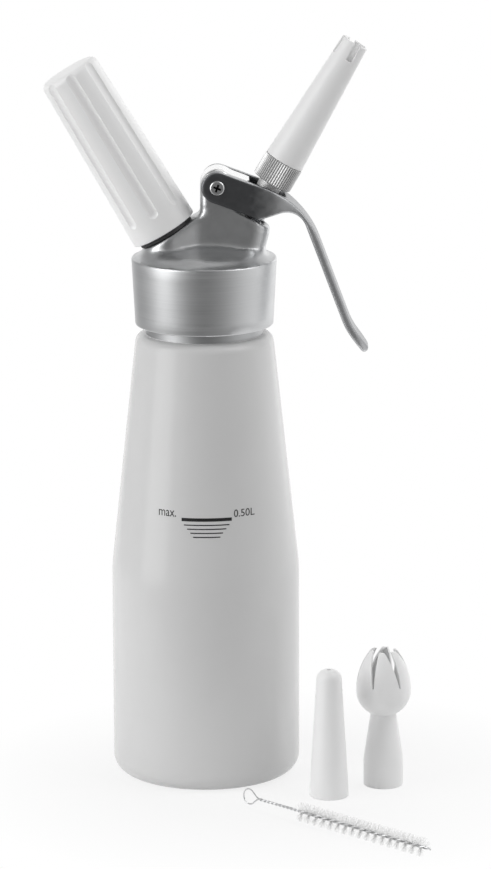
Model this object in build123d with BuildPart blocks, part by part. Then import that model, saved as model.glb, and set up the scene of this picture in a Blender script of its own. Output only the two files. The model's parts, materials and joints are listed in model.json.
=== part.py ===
from build123d import *
import os
from math import acos, asin, cos, degrees, pi, radians, sin, sqrt

# A half-litre cream whipper with its spare tips and cleaning brush.
# Millimetres, +Z up. The origin is the middle of the bottle's foot, the holder leans to -X and
# the nozzle to +X. Both ports lean by port_tilt and their axes cross on the bottle's axis.
# A place along a port is its distance from that crossing, named ..._at.

# General clearances
touch_gap = 0.3
running_gap = 0.05
thread_gap = 0.2
seat_gap = 0.03

# General rounds: small edges, and the largest share of a half circle that a corner takes
edge_round = 0.5
near_full = 0.99

# Bottle
bottle_r = 39.8
bottle_wall = 1.6
bottle_floor = 2.5
foot_round = 7.5
foot_height = 90.5
foot_blend = 60.0
shoulder_height = 191.2
shoulder_r = 28.9
shoulder_round = 4.2
neck_r = 24.8
neck_wall = 2.8
neck_band = 6.0
neck_height = 25.3
neck_thread_pitch = 4.0
neck_thread_depth = 0.9
neck_thread_turns = 3
neck_thread_start = 3.0
ridge_half = 1.2
crest_half = 0.5
gasket_thick = 2.0

# Head casting
skirt_gap = 4.0
skirt_height = 28.6
skirt_bottom_r = 29.1
skirt_top_r = 30.6
skirt_edge = 1.0
skirt_low_edge = 0.6
skirt_bore_gap = 0.5
dome_r = 26.3
dome_side = 2.0
dome_rise = 6.1
dome_round = 1.3
head_cavity_r = 18.5
head_cavity_rise = 6.0
port_tilt = 30.6
port_cross_drop = 16.6

# Charger port, holder and charger
boss_top_at = 31.0
boss_lip = 0.4
boss_root = 16.0
washer_thick = 1.5
washer_lip = 2.5
charger_pass = 0.6
stud_length = 19.8
stud_shank_r = 5.5
stud_groove = 0.5
stud_pitch = 2.5
stud_spigot_r = 3.0
stud_spigot = 4.5
gas_way_r = 1.0
charger_length = 65.0
charger_r = 9.0
charger_neck_r = 4.4
charger_neck = 9.0
charger_wall = 1.6
charger_neck_blend = 2.0
charger_shoulder_blend = 6.0
charger_seal_thick = 1.0
pin_r = 0.9
pin_reach = 2.5
pin_root = 5.0
pin_way_r = 0.35
sleeve_wall = 1.2
holder_rim_wall = 4.55
holder_wall = 3.55
holder_length = 78.2
holder_corner = 2.6
thread_run_out = 1.5
flute_count = 8
flute_width = 4.6
flute_depth = 0.9
flute_low = 7.9
flute_turn = 3.5

# Dispensing tower, valve and nozzle
rim_at = 39.6
rim_r = 9.3
tower_root_r = 12.9
tower_half = 8.0
tower_left = -1.5
tower_left_round = 3.4
tower_right_round = 7.6
pivot_x = 5.7
pivot_rise = 31.0
lug_r = 7.2
ridge_drop = 0.2
ridge_from_axis = 8.9
seat_at = 17.8
seat_r = 7.5
seat_length = 4.0
bush_offset = 2.0
stem_r = 4.0
stem_way_r = 2.5
stem_port_r = 1.3
stem_foot = 1.0
spring_floor_at = 29.3
spring_bore_gap = 0.8
spring_play = 0.6
spring_wire_r = 0.5
spring_turns = 5
collar_at = 43.8
collar_thick = 3.0
stem_top_at = 63.3
spigot_r = 3.0
valve_seal_thick = 2.1
valve_seal_r = 6.2
valve_nut_thick = 3.2
valve_nut_flats = 9.5
valve_lift = 6.0
o_ring_wire_r = 0.93
o_ring_at = 24.3
adapter_at = 56.0
adapter_length = 10.2
adapter_r = 8.6
adapter_neck_wall = 0.9
adapter_neck = 3.7
knurl_ribs = 50
knurl_depth = 0.4
nipple_r = 6.2
nipple_length = 8.0
adapter_seal_thick = 1.2
tip_length = 58.3
tip_base_r = 8.4
tip_end_r = 5.75
tip_wall = 1.5
slot_count = 4
slot_width = 2.9
slot_depth = 8.0
slot_turn = -78.0

# Lever
lever_slope = 20.5
cheek_thick = 2.7
lever_cheek_r = 6.8
lever_top_run = 36.5
lever_bend_r = 40.0
lever_inner_bend_r = 9.0
lever_low_run = 21.5
lever_web_rise = 17.0
lever_web_round = 5.0
handle_half = 8.0
handle_thick = 3.4
handle_tip_share = 0.45
handle_lean = 20.5
handle_run = 57.2
curl_r = 30.0
curl_turn = 16.0
curl_run = 12.5
waist_x = 30.0
waist_length = 10.0
waist_round = 20.0
handle_end_round = 6.5
fork_slot_reach = 28.5
fork_slot_round = 5.0
lever_edge = 1.0
fork_pin_r = 2.2
fork_pin_gap = 0.9
axle_r = 2.5
axle_head_r = 3.15
axle_head = 1.1
screw_crown = 0.8
axle_play = 0.1
pivot_screw_r = 1.5
cross_width = 0.9
cross_reach = 1.7
cross_depth = 0.8

# Spare tips
plain_tip_x = 51.9
plain_tip_y = -41.4
plain_tip_height = 55.0
plain_tip_end_r = 5.1
plain_outlet_r = 0.9
tulip_x = 75.2
tulip_y = -25.5
tulip_base_height = 12.0
tulip_neck_height = 31.6
tulip_neck_r = 5.4
tulip_bulb_height = 41.5
tulip_bulb_r = 11.6
tulip_height = 59.0
tulip_end_r = 5.6
tulip_wall = 1.3
tulip_base_blend = 30.0
petal_count = 6
petal_slit = 14.5
petal_slit_low = 0.7
petal_slit_top = 3.2
petal_skew = -1.45
petal_turn = 6.0

# Cleaning brush
brush_x = 21.5
brush_y = -60.8
brush_heading = -44.7
brush_lift = 4.5
brush_wire_r = 0.4
brush_core_r = 0.75
brush_bare = 25.0
bristle_zone = 70.0
brush_end = 3.5
bristle_reach = 4.4
bristle_side = 0.16
bristle_rows = 230
bristle_pitch = 8.4
loop_r = 3.3
loop_length = 4.6
loop_foot = 0.7

# Derived places on the bottle's axis
neck_bore_r = neck_r - neck_thread_depth - neck_wall
thread_core_r = neck_r - neck_thread_depth
rim_z = shoulder_height + neck_height
ceiling_z = rim_z + gasket_thick
skirt_bottom = shoulder_height + skirt_gap
skirt_top = skirt_bottom + skirt_height
port_cross = skirt_top - port_cross_drop
pivot_z = skirt_top + pivot_rise
skirt_bore_r = neck_r + skirt_bore_gap
dome_top = skirt_top + dome_rise
cavity_top = ceiling_z + head_cavity_rise

# Derived places along the ports
tilt = radians(port_tilt)
stud_r = charger_r + charger_pass
washer_r = stud_r + washer_lip
boss_r = washer_r + boss_lip
boss_x = -boss_top_at * sin(tilt)
stud_foot_at = boss_top_at + washer_thick
stud_top_at = stud_foot_at + stud_length
recess_at = stud_top_at - charger_neck - charger_seal_thick
charger_at = recess_at + charger_seal_thick
charger_end_at = charger_at + charger_length
spigot_end_at = seat_at + bush_offset - stud_spigot
holder_at = stud_foot_at + touch_gap
holder_end_at = holder_at + holder_length
holder_thread_r = stud_r + thread_gap
holder_bore_r = charger_r + touch_gap
holder_rim_r = holder_thread_r + holder_rim_wall
holder_end_r = holder_bore_r + holder_wall
spring_r = stem_r + spring_play + spring_wire_r
spring_bore_r = spring_r + spring_wire_r + spring_bore_gap
collar_r = spring_bore_r - touch_gap
collar_top_at = collar_at + collar_thick
fork_pin_at = collar_top_at + touch_gap + fork_pin_r
adapter_top_at = adapter_at + adapter_length
adapter_bore_r = stem_r + thread_gap
adapter_neck_r = adapter_bore_r + adapter_neck_wall
tip_socket_r = nipple_r + thread_gap
lever_inner = tower_half + touch_gap
lever_half = lever_inner + cheek_thick
fork_pin_inset = lever_inner - stem_r - fork_pin_gap
bush_at = seat_at + bush_offset
guide_r = stem_r + running_gap
o_ring_r = stem_r + 2 * running_gap + o_ring_wire_r
groove_r = o_ring_r + o_ring_wire_r + seat_gap
groove_half = o_ring_wire_r + 2 * running_gap
recess_r = charger_neck_r + touch_gap
stem_way_at = seat_at + stem_foot
stem_low_at = seat_at - valve_seal_thick - valve_nut_thick
tower_right_x = (tower_root_r + (skirt_top - port_cross) * sin(tilt)) / cos(tilt)
tower_height = pivot_z + 2 * lug_r - skirt_top
crossing = Vector(0, 0, port_cross)
pivot = Vector(pivot_x, 0, pivot_z)
cheek_dir = Vector(cos(radians(lever_slope)), 0, -sin(radians(lever_slope)))
cheek_up = Vector(sin(radians(lever_slope)), 0, cos(radians(lever_slope)))


def port_plane(lean):
    """Plane square to a port, with its Z along the port."""
    return Plane(crossing, x_dir=(cos(lean), 0, -sin(lean)), z_dir=(sin(lean), 0, cos(lean)))


def port_section(lean):
    """Plane through a port: X is the distance from its axis, Y the place along it."""
    return Plane(crossing, x_dir=(cos(lean), 0, -sin(lean)), z_dir=(0, -1, 0))


def port_axis(lean):
    return Axis(crossing, (sin(lean), 0, cos(lean)))


nozzle_plane = port_plane(tilt)
nozzle_section = port_section(tilt)
nozzle_axis = port_axis(tilt)
charger_plane = port_plane(-tilt)
charger_section = port_section(-tilt)
charger_axis = port_axis(-tilt)


def crossing_point(first, first_dir, second, second_dir):
    """Where two lines in the XZ plane cross."""
    apart = second - first
    spread = first_dir.X * second_dir.Z - first_dir.Z * second_dir.X
    return first + first_dir * ((apart.X * second_dir.Z - apart.Z * second_dir.X) / spread)


def outline(plane, points, radii=None):
    """Closed face through points on a plane, with a round radius at each corner."""
    corner_radii = radii if radii else [0] * len(points)
    with BuildSketch(plane) as face:
        with BuildLine():
            FilletPolyline(*points, radius=corner_radii, close=True)
        make_face()
    return face.sketch


def ring(plane, inner, outer, low, high):
    """Section of a plain ring about the plane's own Y axis."""
    return outline(plane, [(inner, low), (outer, low), (outer, high), (inner, high)])


def save(builder, name):
    builder.part.label = name
    export_step(builder.part, f"parts/{name}.step")


os.makedirs("parts", exist_ok=True)

# Bottle: one drawn shell with a threaded neck
outer_points = [
    (0, 0),
    (bottle_r, 0),
    (bottle_r, foot_height),
    (shoulder_r, shoulder_height),
    (neck_r, shoulder_height),
    (neck_r, shoulder_height + neck_band),
    (thread_core_r, shoulder_height + neck_band + neck_thread_depth),
]
outer_radii = [0, foot_round, foot_blend, shoulder_round, 0, 0, 0]
for turn in range(neck_thread_turns):
    ridge_z = shoulder_height + neck_band + neck_thread_start + neck_thread_pitch * turn
    outer_points += [
        (thread_core_r, ridge_z - ridge_half),
        (neck_r - touch_gap, ridge_z - crest_half),
        (neck_r - touch_gap, ridge_z + crest_half),
        (thread_core_r, ridge_z + ridge_half),
    ]
    outer_radii += [0, 0, 0, 0]
inner_points = [
    (thread_core_r, rim_z),
    (neck_bore_r, rim_z),
    (neck_bore_r, shoulder_height - bottle_wall),
    (shoulder_r - bottle_wall, shoulder_height - bottle_wall),
    (bottle_r - bottle_wall, foot_height),
    (bottle_r - bottle_wall, bottle_floor),
    (0, bottle_floor),
]
inner_radii = [0, 0, 0, shoulder_round - bottle_wall, foot_blend, foot_round - bottle_wall, 0]
with BuildPart() as bottle:
    revolve(outline(Plane.XZ, outer_points + inner_points, outer_radii + inner_radii))
save(bottle, "bottle")

# Head gasket: flat silicone ring between the bottle's rim and the head
with BuildPart() as head_gasket:
    revolve(ring(Plane.XZ, neck_bore_r, skirt_bore_r - touch_gap, rim_z, ceiling_z))
save(head_gasket, "head_gasket")

# Tower: a side view with a round right side and the pivot lug, cut to a plan with a round left
rim_right = nozzle_section.from_local_coords((rim_r, rim_at, 0))
lug_right = pivot_x + lug_r
rim_left_z = (rim_at - lug_right * sin(tilt)) / cos(tilt) + port_cross
tower_points = [
    (tower_left, skirt_top),
    (tower_right_x, skirt_top),
    (rim_right.X, rim_right.Z),
    (lug_right, rim_left_z),
    (lug_right, pivot_z + lug_r),
    (tower_left, pivot_z + lug_r),
]
plan_points = [
    (tower_left, -tower_half),
    (rim_right.X + edge_round, -tower_half),
    (rim_right.X + edge_round, tower_half),
    (tower_left, tower_half),
]
with BuildPart() as tower:
    tower_side = outline(Plane.XZ, tower_points, [0, 0, 0, 0, lug_r * near_full, lug_r * near_full])
    extrude(tower_side, amount=tower_half, both=True)
    right_edges = tower.faces().sort_by(Axis.X)[-1].edges().filter_by(Axis.Y, reverse=True)
    fillet(right_edges, min(tower_right_round, near_full * tower_half))
    # Ridge between the lever's cheeks, from the lug to the valve
    ridge_foot = nozzle_section.from_local_coords((-ridge_from_axis, rim_at, 0))
    ridge_left = pivot + cheek_up * (lever_cheek_r - ridge_drop)
    ridge_right = crossing_point(ridge_left, cheek_dir, ridge_foot, nozzle_axis.direction)
    ridge_corners = [Vector(pivot_x, 0, ridge_foot.Z), ridge_foot, ridge_right, ridge_left]
    ridge_side = outline(Plane.XZ, [(corner.X, corner.Z) for corner in ridge_corners])
    extrude(ridge_side, amount=tower_half, both=True)
    tower_plan = outline(Plane.XY.offset(skirt_top), plan_points, [tower_left_round, 0, 0, tower_left_round])
    extrude(tower_plan, amount=tower_height, mode=Mode.INTERSECT)

# Head: skirt and dome are turned, then the boss and the tower stand on them
crown_rise = dome_rise - dome_side
crown_r = (dome_r**2 + crown_rise**2) / (2 * crown_rise)
with BuildPart() as head:
    with BuildSketch(Plane.XZ) as head_face:
        with BuildLine():
            skirt_line = FilletPolyline(
                (0, skirt_bottom),
                (skirt_bottom_r, skirt_bottom),
                (skirt_top_r, skirt_top),
                (dome_r, skirt_top),
                (dome_r, skirt_top + dome_side),
                radius=[skirt_low_edge, skirt_edge, 0],
            )
            RadiusArc(skirt_line @ 1, (0, dome_top), -crown_r)
            Line((0, dome_top), (0, skirt_bottom))
        make_face()
        fillet(head_face.vertices().sort_by_distance((dome_r, skirt_top + dome_side))[0], dome_round)
    revolve()
    # Charger boss: the washer's seat drawn straight down, with a web to the tower's left
    web_x = (tower_left - boss_x) / cos(tilt)
    web_end = web_x + tower_left_round / cos(tilt)
    web_reach = sqrt(web_x**2 + tower_half**2)
    web_from = degrees(asin(tower_half / web_reach) + acos(boss_r / web_reach))
    with BuildSketch(charger_plane.offset(boss_top_at)):
        with BuildLine():
            seat_edge = CenterArc((0, 0), boss_r, web_from, 360 - 2 * web_from)
            Polyline(
                seat_edge @ 1,
                (web_x, -tower_half),
                (web_end, -tower_half),
                (web_end, tower_half),
                (web_x, tower_half),
                seat_edge @ 0,
            )
        make_face()
    extrude(amount=boss_root, dir=(0, 0, -1))
    add(tower)
    # Room for the bottle's neck and the chamber above it
    cavity_points = [
        (0, skirt_bottom),
        (skirt_bore_r, skirt_bottom),
        (skirt_bore_r, ceiling_z),
        (head_cavity_r, ceiling_z),
        (head_cavity_r - head_cavity_rise, cavity_top),
        (0, cavity_top),
    ]
    revolve(outline(Plane.XZ, cavity_points), mode=Mode.SUBTRACT)
    # Room round the valve's lower end and the stud's spigot
    valve_room = ring(nozzle_section, 0, seat_r, stem_low_at - valve_lift, seat_at)
    revolve(valve_room, axis=nozzle_axis, mode=Mode.SUBTRACT)
    spigot_room = ring(charger_section, 0, seat_r, spigot_end_at - touch_gap, bush_at)
    revolve(spigot_room, axis=charger_axis, mode=Mode.SUBTRACT)
    # Valve seat and stud bush, which stand into the chamber
    revolve(ring(nozzle_section, 0, seat_r, seat_at, seat_at + seat_length), axis=nozzle_axis)
    revolve(ring(charger_section, 0, seat_r, bush_at, bush_at + seat_length), axis=charger_axis)
    # Valve bore with its ring groove, and the spring's bore
    valve_bore = [
        (0, seat_at),
        (guide_r, seat_at),
        (guide_r, o_ring_at - groove_half),
        (groove_r, o_ring_at - groove_half),
        (groove_r, o_ring_at + groove_half),
        (guide_r, o_ring_at + groove_half),
        (guide_r, spring_floor_at),
        (spring_bore_r, spring_floor_at),
        (spring_bore_r, collar_top_at),
        (0, collar_top_at),
    ]
    revolve(outline(nozzle_section, valve_bore), axis=nozzle_axis, mode=Mode.SUBTRACT)
    # Stud bore and pivot bore
    stud_bore = ring(charger_section, 0, stud_shank_r + seat_gap, bush_at, boss_top_at)
    revolve(stud_bore, axis=charger_axis, mode=Mode.SUBTRACT)
    with Locations((pivot_x, 0, pivot_z)):
        Cylinder(axle_r + seat_gap, 2 * lever_half, rotation=(90, 0, 0), mode=Mode.SUBTRACT)
save(head, "head")

# Charger stud: shank in the boss, threaded body, and a spigot with the gas outlet
stud_points = [
    (gas_way_r, spigot_end_at + gas_way_r),
    (0, spigot_end_at + gas_way_r),
    (0, spigot_end_at),
    (stud_spigot_r, spigot_end_at),
    (stud_spigot_r, bush_at),
    (stud_shank_r, bush_at),
    (stud_shank_r, stud_foot_at),
    (stud_r, stud_foot_at),
]
stud_grooves = int((stud_length - stud_pitch) / stud_pitch)
for groove in range(stud_grooves):
    groove_at = stud_foot_at + stud_pitch * (groove + 1)
    stud_points += [
        (stud_r, groove_at - 2 * stud_groove),
        (stud_r - stud_groove, groove_at),
        (stud_r, groove_at + 2 * stud_groove),
    ]
stud_points += [
    (stud_r, stud_top_at - stud_groove),
    (stud_r - stud_groove, stud_top_at),
    (recess_r, stud_top_at),
    (recess_r, recess_at),
    (pin_r + seat_gap, recess_at),
    (pin_r + seat_gap, recess_at - pin_root),
    (gas_way_r, recess_at - pin_root),
]
with BuildPart() as charger_stud:
    revolve(outline(charger_section, stud_points), axis=charger_axis)
    with Locations(charger_plane.offset(spigot_end_at + 2 * gas_way_r)):
        Cylinder(gas_way_r / 2, 3 * stud_spigot_r, rotation=(90, 0, 0), mode=Mode.SUBTRACT)
save(charger_stud, "charger_stud")

# Sealing ring between the stud's body and the boss
with BuildPart() as stud_washer:
    washer_section = ring(charger_section, stud_shank_r + seat_gap, washer_r, boss_top_at, stud_foot_at)
    revolve(washer_section, axis=charger_axis)
save(stud_washer, "stud_washer")

# Piercing pin: a hollow needle with a slanted point
with BuildPart() as piercing_pin:
    pin_points = [
        (pin_way_r, recess_at - pin_root),
        (pin_r, recess_at - pin_root),
        (pin_r, charger_at + pin_reach - pin_r),
        (pin_way_r, charger_at + pin_reach),
    ]
    revolve(outline(charger_section, pin_points), axis=charger_axis)
save(piercing_pin, "piercing_pin")

# Seal that the charger's mouth is pressed on
with BuildPart() as charger_seal:
    seal_section = ring(charger_section, pin_r + seat_gap, recess_r - seat_gap, recess_at, charger_at)
    revolve(seal_section, axis=charger_axis)
save(charger_seal, "charger_seal")

# Check valve: a rubber sleeve over the stud's gas outlet
with BuildPart() as check_valve:
    sleeve_inner = stud_spigot_r + seat_gap
    sleeve_low = spigot_end_at + seat_gap
    sleeve_section = ring(charger_section, sleeve_inner, sleeve_inner + sleeve_wall, sleeve_low, bush_at)
    revolve(sleeve_section, axis=charger_axis)
save(check_valve, "check_valve")

# Gas charger: a steel bulb, pierced at its neck
bulb_inner_r = charger_r - charger_wall
neck_inner_r = charger_neck_r - charger_wall
bulb_shoulder_at = charger_at + charger_neck + charger_r
bulb_points = [
    (pin_r + touch_gap, charger_at),
    (charger_neck_r, charger_at),
    (charger_neck_r, charger_at + charger_neck),
    (charger_r, bulb_shoulder_at),
    (charger_r, charger_end_at),
    (0, charger_end_at),
    (0, charger_end_at - charger_wall),
    (bulb_inner_r, charger_end_at - charger_wall),
    (bulb_inner_r, bulb_shoulder_at),
    (neck_inner_r, charger_at + charger_neck),
    (neck_inner_r, charger_at + charger_wall),
    (pin_r + touch_gap, charger_at + charger_wall),
]
bulb_end_round = charger_r - edge_round
bulb_outer_radii = [0, edge_round, charger_neck_blend, charger_shoulder_blend, bulb_end_round, 0]
bulb_inner_radii = [0, bulb_end_round - charger_wall, charger_shoulder_blend, charger_neck_blend, 0, 0]
with BuildPart() as gas_charger:
    revolve(outline(charger_section, bulb_points, bulb_outer_radii + bulb_inner_radii), axis=charger_axis)
save(gas_charger, "gas_charger")

# Charger holder: a tapered moulded cup with round grooves that run out at its flat end
thread_end_at = stud_top_at + thread_run_out
holder_inside_at = charger_end_at + touch_gap
holder_points = [
    (holder_thread_r, holder_at),
    (holder_rim_r, holder_at),
    (holder_end_r, holder_end_at),
    (0, holder_end_at),
    (0, holder_inside_at),
    (holder_bore_r, holder_inside_at),
    (holder_bore_r, thread_end_at),
    (holder_thread_r, thread_end_at),
]
holder_radii = [0, edge_round, holder_corner, 0, 0, bulb_end_round + touch_gap, 0, 0]
holder_lean = (holder_rim_r - holder_end_r) / holder_length
flute_foot = flute_low + flute_width / 2
flute_cut_r = (flute_width**2 / 4 + flute_depth**2) / (2 * flute_depth)
flute_from_axis = holder_rim_r - holder_lean * flute_foot - flute_depth + flute_cut_r
with BuildPart() as charger_holder:
    revolve(outline(charger_section, holder_points, holder_radii), axis=charger_axis)
    for flute in range(flute_count):
        around = radians(flute_turn + 360 / flute_count * flute)
        centre = (flute_from_axis * cos(around), flute_from_axis * sin(around), holder_at + flute_foot)
        along = Vector(-holder_lean * cos(around), -holder_lean * sin(around), 1)
        flute_origin = charger_plane.from_local_coords(centre)
        flute_dir = charger_plane.from_local_coords(Vector(centre) + along) - flute_origin
        with Locations(Plane(flute_origin, z_dir=flute_dir)):
            Sphere(flute_cut_r, mode=Mode.SUBTRACT)
            flute_align = (Align.CENTER, Align.CENTER, Align.MIN)
            Cylinder(flute_cut_r, holder_length, align=flute_align, mode=Mode.SUBTRACT)
save(charger_holder, "charger_holder")

# Valve stem: hollow, with side ports above the seal and a collar for the lever's fork
stem_points = [
    (0, stem_low_at),
    (spigot_r, stem_low_at),
    (spigot_r, seat_at),
    (stem_r, seat_at),
    (stem_r, collar_at),
    (collar_r, collar_at),
    (collar_r, collar_top_at),
    (stem_r, collar_top_at),
    (stem_r, stem_top_at),
    (stem_way_r, stem_top_at),
    (stem_way_r, stem_way_at),
    (0, stem_way_at),
]
with BuildPart() as valve_stem:
    revolve(outline(nozzle_section, stem_points), axis=nozzle_axis)
    with Locations(nozzle_plane.offset(stem_way_at + stem_port_r)):
        Cylinder(stem_port_r, 3 * stem_r, rotation=(90, 0, 0), mode=Mode.SUBTRACT)
        Cylinder(stem_port_r, 3 * stem_r, rotation=(0, 90, 0), mode=Mode.SUBTRACT)
save(valve_stem, "valve_stem")

# Seal disc and its nut at the stem's lower end
with BuildPart() as valve_seal:
    disc_low_at = seat_at - valve_seal_thick
    disc_section = ring(nozzle_section, spigot_r + seat_gap, valve_seal_r, disc_low_at, seat_at)
    revolve(disc_section, axis=nozzle_axis)
save(valve_seal, "valve_seal")
with BuildPart() as valve_nut:
    with BuildSketch(nozzle_plane.offset(stem_low_at)):
        RegularPolygon(valve_nut_flats / 2, 6, major_radius=False)
        Circle(spigot_r + seat_gap, mode=Mode.SUBTRACT)
    extrude(amount=valve_nut_thick)
save(valve_nut, "valve_nut")

# Ring seal round the stem
with BuildPart() as stem_o_ring:
    with BuildSketch(nozzle_section):
        with Locations((o_ring_r, o_ring_at)):
            Circle(o_ring_wire_r)
    revolve(axis=nozzle_axis)
save(stem_o_ring, "stem_o_ring")


def spring_point(turn):
    """Centre of the spring's wire after a number of turns, and its direction there."""
    around = 2 * pi * turn
    local = (spring_r * cos(around), spring_r * sin(around), spring_low_at + spring_pitch * turn)
    ahead = Vector(-spring_r * sin(around), spring_r * cos(around), spring_pitch / (2 * pi))
    place = nozzle_plane.from_local_coords(local)
    heading = nozzle_plane.from_local_coords(Vector(local) + ahead) - place
    return place, heading.normalized()


def biarc_joint(start, start_dir, end, end_dir):
    """Point where two arcs of a biarc meet."""
    span = end - start
    both = span.dot(start_dir + end_dir)
    opening = 2 * (1 - start_dir.dot(end_dir))
    reach = (sqrt(both**2 + opening * span.dot(span)) - both) / opening
    return (start + end + (start_dir - end_dir) * reach) / 2


# Valve spring: one wire on biarcs of a quarter turn
spring_low_at = spring_floor_at + spring_wire_r + seat_gap
spring_high_at = collar_at - spring_wire_r - seat_gap
spring_pitch = (spring_high_at - spring_low_at) / spring_turns
with BuildPart() as valve_spring:
    with BuildLine() as spring_path:
        for quarter in range(4 * spring_turns):
            start, start_dir = spring_point(quarter / 4)
            end, end_dir = spring_point((quarter + 1) / 4)
            joint = biarc_joint(start, start_dir, end, end_dir)
            first_arc = TangentArc(start, joint, tangent=start_dir)
            TangentArc(joint, end, tangent=first_arc % 1)
    with BuildSketch(Plane(spring_path.wire() @ 0, z_dir=spring_path.wire() % 0)):
        Circle(spring_wire_r)
    sweep(path=spring_path.wire())
save(valve_spring, "valve_spring")
gap_steps = 24
spring_gap = min(
    (spring_point(step / gap_steps)[0] - spring_point((step + ahead) / gap_steps)[0]).length
    for step in range(gap_steps)
    for ahead in range(gap_steps // 2, gap_steps * (spring_turns - 1))
)
print("valve_spring least gap to itself", round(spring_gap - 2 * spring_wire_r, 2))

# Nozzle adapter: straight knurl, polished neck below and a threaded nipple above
knurl_points = []
for edge in range(2 * knurl_ribs):
    edge_r = adapter_r - knurl_depth * (edge % 2)
    edge_angle = pi * edge / knurl_ribs
    knurl_points.append((edge_r * cos(edge_angle), edge_r * sin(edge_angle)))
knurl_limit = [
    (0, adapter_at),
    (adapter_r - knurl_depth, adapter_at),
    (adapter_r, adapter_at + knurl_depth),
    (adapter_r, adapter_top_at - knurl_depth),
    (adapter_r - knurl_depth, adapter_top_at),
    (0, adapter_top_at),
]
adapter_low_at = adapter_at - adapter_neck
adapter_seal_at = stem_top_at + adapter_seal_thick
adapter_way = [
    (0, adapter_low_at),
    (adapter_bore_r, adapter_low_at),
    (adapter_bore_r, adapter_seal_at),
    (stem_way_r, adapter_seal_at),
    (stem_way_r, adapter_top_at + nipple_length),
    (0, adapter_top_at + nipple_length),
]
with BuildPart() as nozzle_adapter:
    with BuildSketch(nozzle_plane.offset(adapter_at)):
        with BuildLine():
            Polyline(*knurl_points, close=True)
        make_face()
    extrude(amount=adapter_length)
    revolve(outline(nozzle_section, knurl_limit), axis=nozzle_axis, mode=Mode.INTERSECT)
    revolve(ring(nozzle_section, 0, adapter_neck_r, adapter_low_at, adapter_at), axis=nozzle_axis)
    nipple_section = ring(nozzle_section, 0, nipple_r, adapter_top_at, adapter_top_at + nipple_length)
    revolve(nipple_section, axis=nozzle_axis)
    revolve(outline(nozzle_section, adapter_way), axis=nozzle_axis, mode=Mode.SUBTRACT)
save(nozzle_adapter, "nozzle_adapter")

# Washer between the stem's end and the adapter
with BuildPart() as adapter_seal:
    washer_outer = adapter_bore_r - seat_gap
    seal_section = ring(nozzle_section, stem_way_r, washer_outer, stem_top_at, adapter_seal_at)
    revolve(seal_section, axis=nozzle_axis)
save(adapter_seal, "adapter_seal")

# Slotted tip on the adapter
tip_end_at = adapter_top_at + tip_length
tip_socket_end = adapter_top_at + nipple_length + touch_gap
tip_points = [
    (tip_socket_r, adapter_top_at),
    (tip_base_r, adapter_top_at),
    (tip_end_r, tip_end_at),
    (tip_end_r - tip_wall, tip_end_at),
    (tip_end_r - tip_wall, tip_socket_end + tip_base_r),
    (tip_socket_r, tip_socket_end),
]
with BuildPart() as nozzle_tip:
    tip_radii = [0, edge_round, edge_round, edge_round, 0, 0]
    revolve(outline(nozzle_section, tip_points, tip_radii), axis=nozzle_axis)
    with BuildSketch(nozzle_plane.offset(tip_end_at)):
        with PolarLocations(tip_end_r / 2, slot_count, start_angle=slot_turn):
            Rectangle(2 * tip_end_r, slot_width)
    extrude(amount=-slot_depth, mode=Mode.SUBTRACT)
save(nozzle_tip, "nozzle_tip")

# Lever: a side view cut to a plan, with a slot between its cheeks and two fork pins
handle_dir = Vector(sin(radians(handle_lean)), 0, -cos(radians(handle_lean)))
handle_out = Vector(cos(radians(handle_lean)), 0, sin(radians(handle_lean)))
curl_lean = radians(handle_lean + curl_turn)
curl_dir = Vector(sin(curl_lean), 0, -cos(curl_lean))
curl_out = Vector(cos(curl_lean), 0, sin(curl_lean))
web_dir = Vector(cos(radians(lever_web_rise)), 0, sin(radians(lever_web_rise)))

top_start = pivot + cheek_up * lever_cheek_r
top_corner = top_start + cheek_dir * lever_top_run
curl_corner = top_corner + handle_dir * handle_run
lever_end = curl_corner + curl_dir * curl_run
inner_line = top_corner - handle_out * handle_thick
inner_curl = crossing_point(inner_line, handle_dir, lever_end - curl_out * handle_thick, curl_dir)
low_start = pivot - cheek_up * lever_cheek_r
low_corner = low_start + cheek_dir * lever_low_run
inner_corner = crossing_point(low_corner, web_dir, inner_line, handle_dir)
lever_corners = [
    top_start,
    top_corner,
    curl_corner,
    lever_end,
    lever_end - curl_out * handle_thick,
    inner_curl,
    inner_corner,
    low_corner,
    low_start,
]
end_round = handle_thick * handle_tip_share
lever_radii = [
    0,
    lever_bend_r,
    curl_r,
    end_round,
    end_round,
    curl_r + handle_thick,
    lever_inner_bend_r,
    lever_web_round,
    0,
]
lever_left = pivot_x - lever_cheek_r
waist_end = waist_x + waist_length
handle_end = max(corner.X for corner in lever_corners)
half_plan = [(waist_x, lever_half), (waist_end, handle_half), (handle_end, handle_half)]
lever_plan_points = [(lever_left, lever_half)] + half_plan
lever_plan_points += [(x, -y) for x, y in reversed(lever_plan_points)]
half_rounds = [0, waist_round, waist_round, handle_end_round]
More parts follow.
